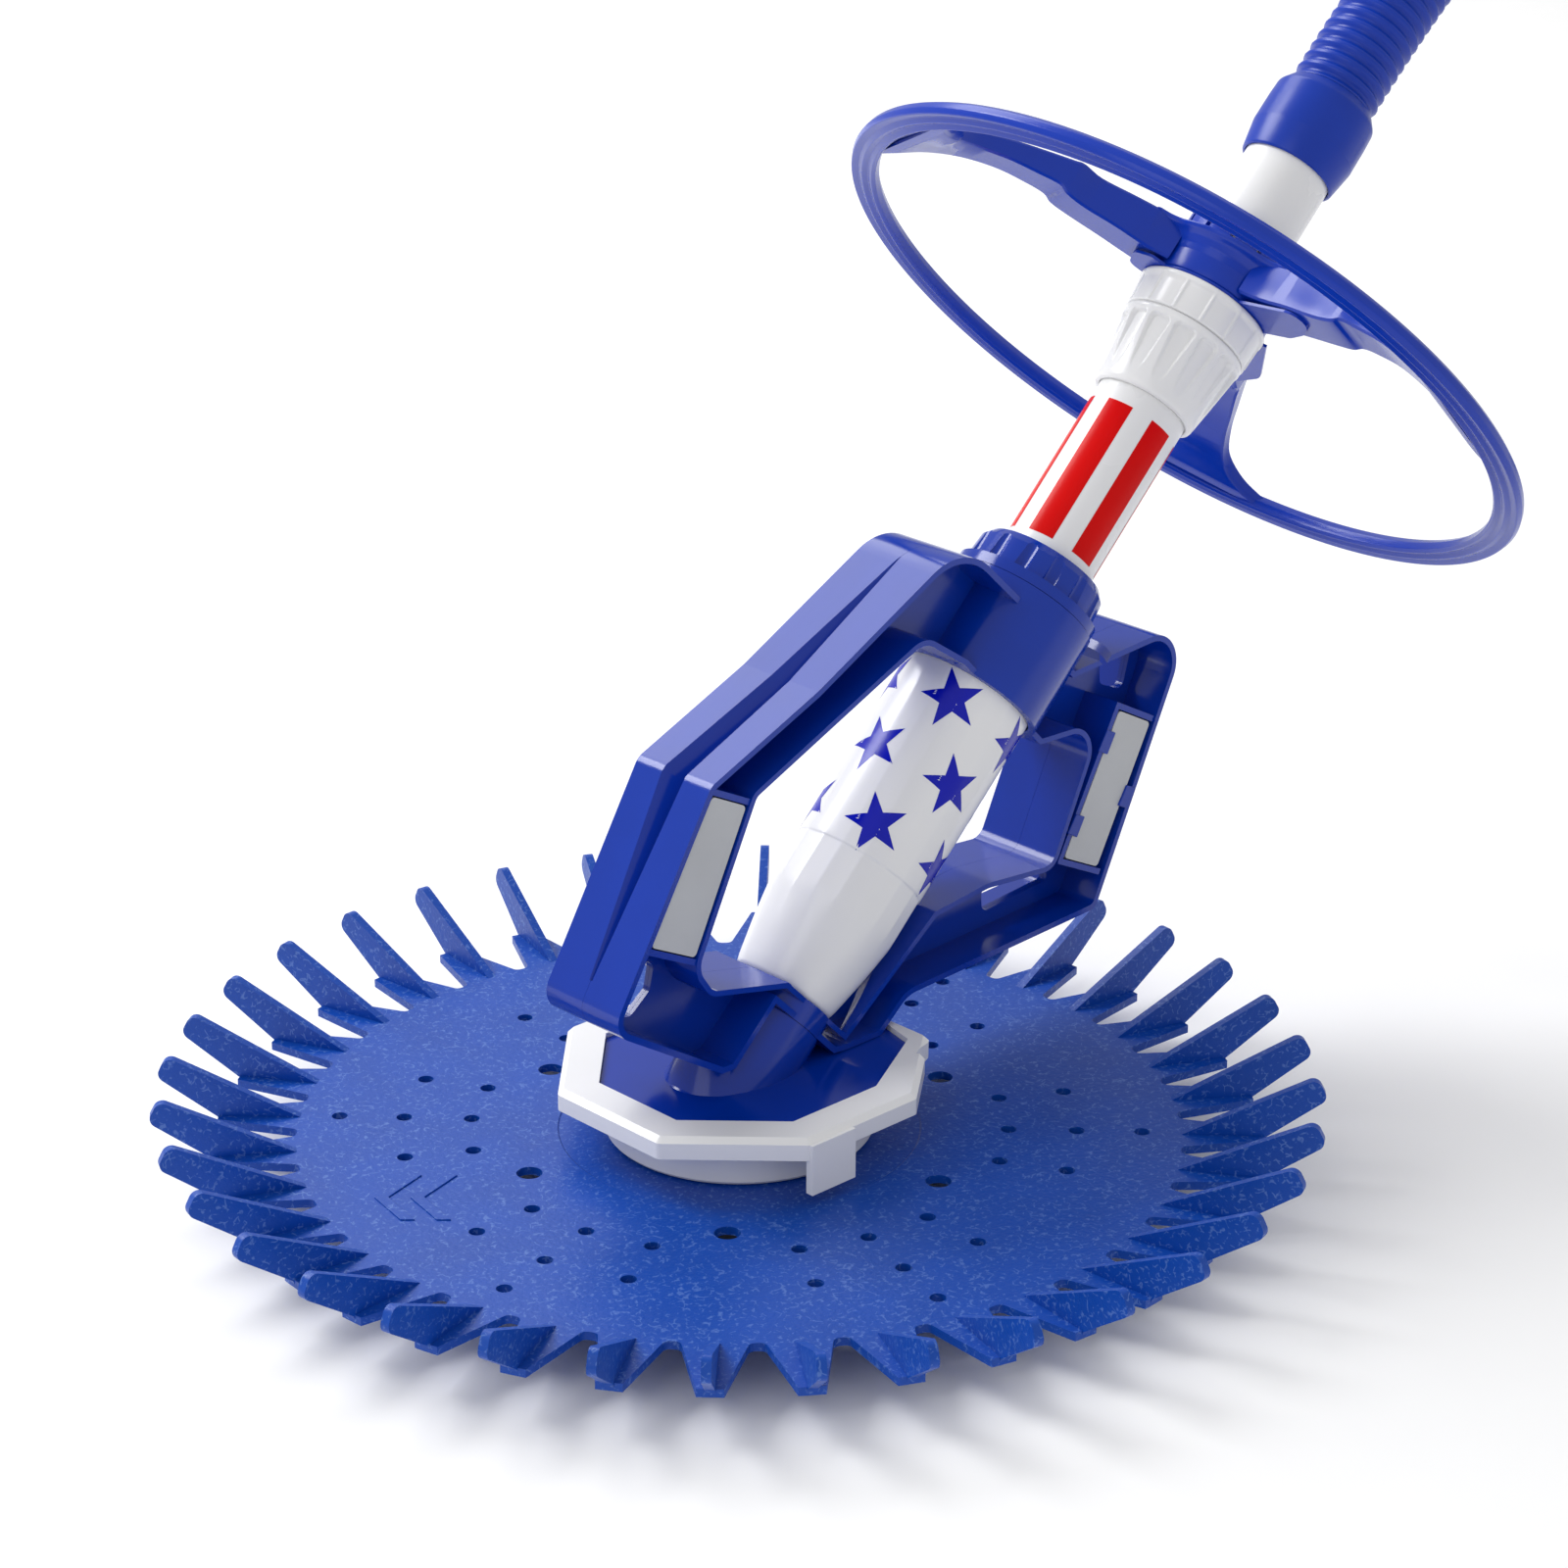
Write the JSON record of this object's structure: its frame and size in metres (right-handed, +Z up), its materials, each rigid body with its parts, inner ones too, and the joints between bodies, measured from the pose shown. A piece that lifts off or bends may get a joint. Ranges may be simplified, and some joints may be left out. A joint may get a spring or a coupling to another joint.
{
  "type": "suction pool cleaner",
  "caption": "Suction pool cleaner head: finned rubber disc under a leaning open body with a cassette tube, a pipe with a deflector wheel and a hose section.",
  "frame": {"origin": "centre of the suction mouth in the foot pad's underside, on the floor", "axes": "+Z up along the disc's axis, +X the way the body and pipe lean, +Y to the left of that"},
  "size_m": [1.3019, 0.4022, 0.4395],
  "materials": {
    "rubber_blue": "satin",
    "gloss_blue": "gloss",
    "white": "gloss",
    "grey_block": "matte",
    "black_rubber": "matte",
    "soft_grey": "matte"
  },
  "bodies": {
    "base": {"foot_pad": "soft_grey", "foot_skirt": "white", "foot_ring": "white", "foot_base": "gloss_blue", "body_half_left": "gloss_blue", "body_half_right": "gloss_blue", "front_float_left": "grey_block", "front_float_right": "grey_block", "rear_weight_left": "grey_block", "rear_weight_right": "grey_block", "cassette_tube": "white", "diaphragm": "soft_grey", "diaphragm_ring": "white", "inner_pipe": "white", "lower_seal": "black_rubber", "upper_seal": "black_rubber", "compression_ring": "white", "outer_pipe": "white", "collar_ring": "white", "wheel_collet": "gloss_blue", "hose_cuff": "gloss_blue", "hose": "gloss_blue", "end_cuff": "gloss_blue"},
    "disc": {"finned_disc": "rubber_blue"},
    "hand_nut": {"hand_nut": "gloss_blue"},
    "collar_nut": {"collar_nut": "white"},
    "wheel": {"deflector_wheel": "gloss_blue", "wheel_clip": "gloss_blue"}
  },
  "joints": [
    {"name": "disc_spin", "type": "hinge", "parent": "base", "child": "disc", "pos_m": [0, 0, 0.0165], "axis": [0, 0, 1], "continuous": true},
    {"name": "wheel_spin", "type": "hinge", "parent": "base", "child": "wheel", "pos_m": [0.23522, 0, 0.27222], "axis": [0.715, 0, 0.6992], "continuous": true},
    {"name": "hand_nut_turn", "type": "hinge", "parent": "base", "child": "hand_nut", "pos_m": [0.14228, 0, 0.18133], "axis": [0.715, 0, 0.6992], "range_deg": [0, 360]},
    {"name": "collar_nut_turn", "type": "hinge", "parent": "base", "child": "collar_nut", "pos_m": [0.20734, 0, 0.24496], "axis": [0.715, 0, 0.6992], "range_deg": [0, 180]}
  ]
}
